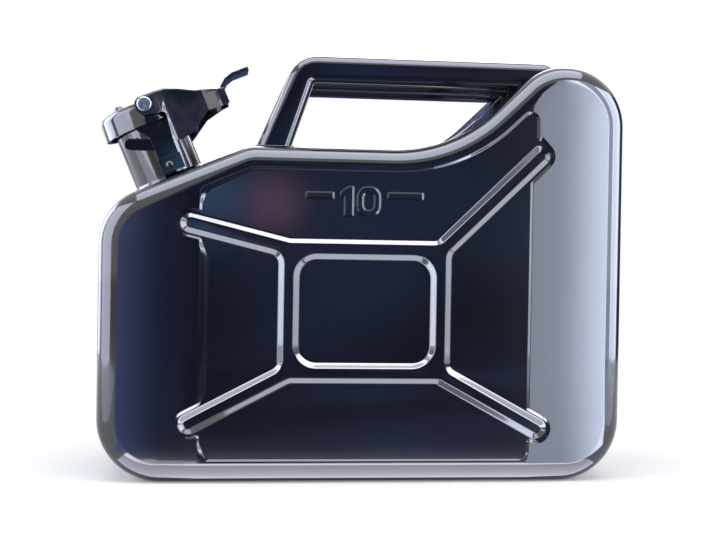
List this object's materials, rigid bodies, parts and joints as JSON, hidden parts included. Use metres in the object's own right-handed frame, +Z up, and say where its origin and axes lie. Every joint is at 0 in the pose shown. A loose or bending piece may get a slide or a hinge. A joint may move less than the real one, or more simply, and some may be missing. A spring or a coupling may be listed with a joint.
{
  "type": "fuel can",
  "caption": "Pressed steel fuel can with embossed faces, carrying bars, a slanted filler neck and a hinged lid closed by a folded cam lever.",
  "frame": {"origin": "centre of the can's footprint at the floor: half way along, half way across, at the height of the base flats", "axes": "+X from the filler neck towards the high bank, +Y from the shown front face to the rear face, +Z up through the carrying bars"},
  "size_m": [0.3542, 0.144, 0.2845],
  "materials": {
    "stove_enamel": "glossy black stove enamel over pressed sheet steel, with a slight orange peel",
    "zinc_plated_steel": "bright zinc-plated steel, satin, as on rivets, pin and inner fittings",
    "nitrile_rubber": "matt black fuel-resistant rubber"
  },
  "bodies": {
    "can": {"front_shell": "stove_enamel", "rear_shell": "stove_enamel", "seam_weld": "stove_enamel", "filler_neck": "stove_enamel", "neck_collar": "stove_enamel", "breather_tube": "zinc_plated_steel", "bar_front": "stove_enamel", "bar_middle": "stove_enamel", "bar_rear": "stove_enamel", "foot_plate_front": "stove_enamel", "foot_plate_middle": "stove_enamel", "foot_plate_rear": "stove_enamel", "neck_bracket_front": "stove_enamel", "neck_bracket_rear": "stove_enamel", "hinge_pin": "zinc_plated_steel"},
    "lid": {"lid": "stove_enamel", "lid_gasket": "nitrile_rubber", "gasket_retainer": "zinc_plated_steel", "dome_rivet": "stove_enamel", "lever_rivet_front": "zinc_plated_steel", "lever_rivet_rear": "zinc_plated_steel"},
    "lever": {"cam_lever": "stove_enamel"},
    "slide": {"locking_slide": "stove_enamel"}
  },
  "joints": [
    {"name": "lid_hinge", "type": "hinge", "parent": "can", "child": "lid", "pos_m": [-0.11383, 0, 0.24042], "axis": [0, 1, 0], "range_deg": [0, 85]},
    {"name": "lever_pivot", "type": "hinge", "parent": "lid", "child": "lever", "pos_m": [-0.14627, 0, 0.24902], "axis": [0, 1, 0], "range_deg": [-119, 0]},
    {"name": "slide_lock", "type": "slide", "parent": "can", "child": "slide", "axis": [1, 0, 0], "range_m": [-0.008, 0]}
  ],
  "couplings": [
    {"joint": "lever_pivot", "follows": "lid_hinge", "ratio": -1.4}
  ]
}
